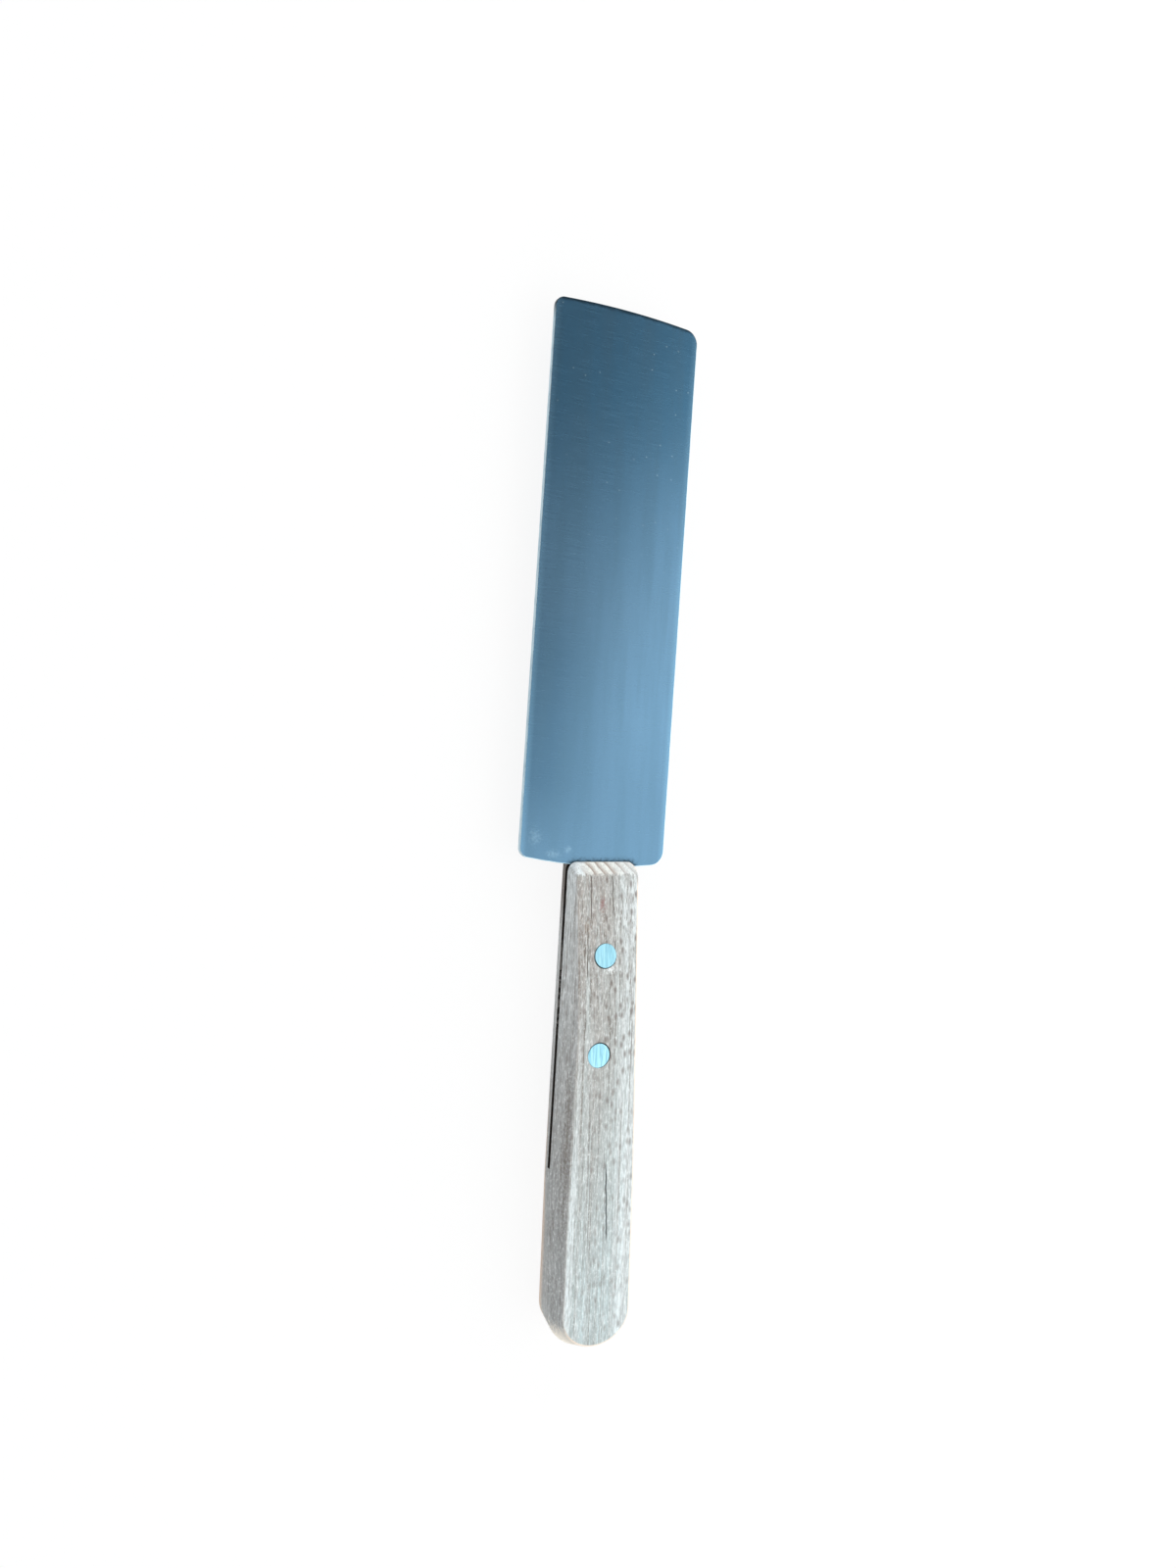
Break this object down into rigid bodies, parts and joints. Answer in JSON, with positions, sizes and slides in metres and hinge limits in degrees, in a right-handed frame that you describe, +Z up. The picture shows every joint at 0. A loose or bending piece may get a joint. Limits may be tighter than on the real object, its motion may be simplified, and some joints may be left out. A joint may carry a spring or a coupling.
{
  "type": "raclette knife",
  "caption": "Raclette knife with a broad flat steel blade, square crowned tip and round corners, riveted into a six-sided beech handle. For scraping and spreading melted cheese.",
  "frame": {"origin": "under the middle of the whole knife, on the plane that the handle's flat side rests on", "axes": "+Y from the butt to the blade's tip, +Z up, square to the flat of the blade, +X to the side on which the handle sits off the blade's centre line"},
  "size_m": [0.044, 0.28, 0.015],
  "materials": {
    "satin_steel": "satin, brushed across the blade",
    "oiled_beech": "sanded and worn, with short dark flecks along the grain",
    "ground_aluminium": "ground flush with the wood"
  },
  "bodies": {
    "root": {"blade": "satin_steel", "handle": "oiled_beech", "front_rivet_male": "ground_aluminium", "front_rivet_female": "ground_aluminium", "rear_rivet_male": "ground_aluminium", "rear_rivet_female": "ground_aluminium"}
  },
  "joints": []
}
